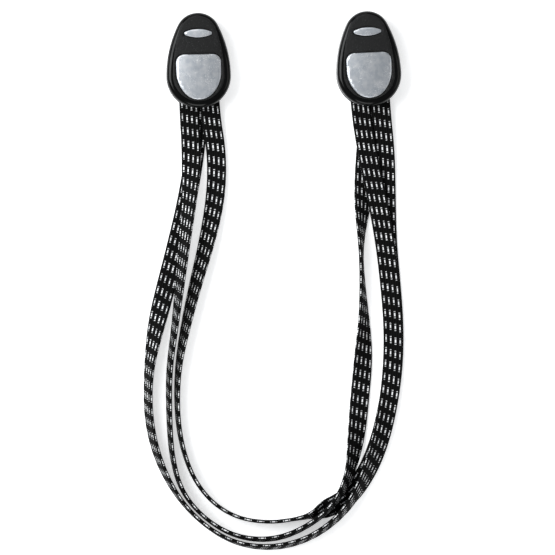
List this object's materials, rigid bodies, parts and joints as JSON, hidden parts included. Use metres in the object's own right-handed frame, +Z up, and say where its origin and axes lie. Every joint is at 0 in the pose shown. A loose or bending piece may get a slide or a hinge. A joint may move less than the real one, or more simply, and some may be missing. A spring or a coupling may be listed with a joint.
{
  "type": "eyeglass retainer strap",
  "caption": "Eyewear retainer: flat knitted elastic bands joining sprung egg-shaped clips with a silver thumb pad, which grip the temple arms of glasses.",
  "frame": {"origin": "on the table, midway between the two clips", "axes": "+Z up from the table, +Y towards the clips' tips (the bands hang towards -Y), +X from the left clip to the right clip"},
  "size_m": [0.1073, 0.2214, 0.0125],
  "materials": {
    "shell_black": "moulded, smooth",
    "rim_gloss_black": "polished, piano gloss",
    "panel_grained": "fine grained, matte",
    "satin_silver": "satin, faintly mottled, bright bevel",
    "pin_steel": "turned, bright",
    "spring_steel": "drawn wire",
    "clamp_steel": "pressed sheet",
    "jaw_rubber": "soft, matte",
    "band_elastic": "knitted elastic with flecks of silver reflective yarn"
  },
  "bodies": {
    "strap_and_bases": {"left_back_shell": "shell_black", "left_hinge_pin": "pin_steel", "left_torsion_spring": "spring_steel", "left_lower_jaw_pad": "jaw_rubber", "left_strap_clamp": "clamp_steel", "left_clamp_rivets": "pin_steel", "right_back_shell": "shell_black", "right_hinge_pin": "pin_steel", "right_torsion_spring": "spring_steel", "right_lower_jaw_pad": "jaw_rubber", "right_strap_clamp": "clamp_steel", "right_clamp_rivets": "pin_steel", "band_outer": "band_elastic", "band_middle": "band_elastic", "band_inner": "band_elastic"},
    "left_lever": {"left_front_shell": "rim_gloss_black", "left_grip_panel": "panel_grained", "left_thumb_pad": "satin_silver", "left_badge": "satin_silver", "left_upper_jaw_pad": "jaw_rubber"},
    "right_lever": {"right_front_shell": "rim_gloss_black", "right_grip_panel": "panel_grained", "right_thumb_pad": "satin_silver", "right_badge": "satin_silver", "right_upper_jaw_pad": "jaw_rubber"}
  },
  "joints": [
    {"name": "left_lever_hinge", "type": "hinge", "parent": "strap_and_bases", "child": "left_lever", "pos_m": [-0.0349, 0.00235, 0.0052], "axis": [0.9998, 0.0175, 0], "range_deg": [0, 12], "stiffness_Nm_per_rad": 0.12, "springref_deg": -11.46, "deforming": ["left_torsion_spring"]},
    {"name": "right_lever_hinge", "type": "hinge", "parent": "strap_and_bases", "child": "right_lever", "pos_m": [0.03472, 0.00315, 0.0052], "axis": [0.9989, 0.0471, 0], "range_deg": [0, 12], "stiffness_Nm_per_rad": 0.12, "springref_deg": -11.46, "deforming": ["right_torsion_spring"]}
  ]
}
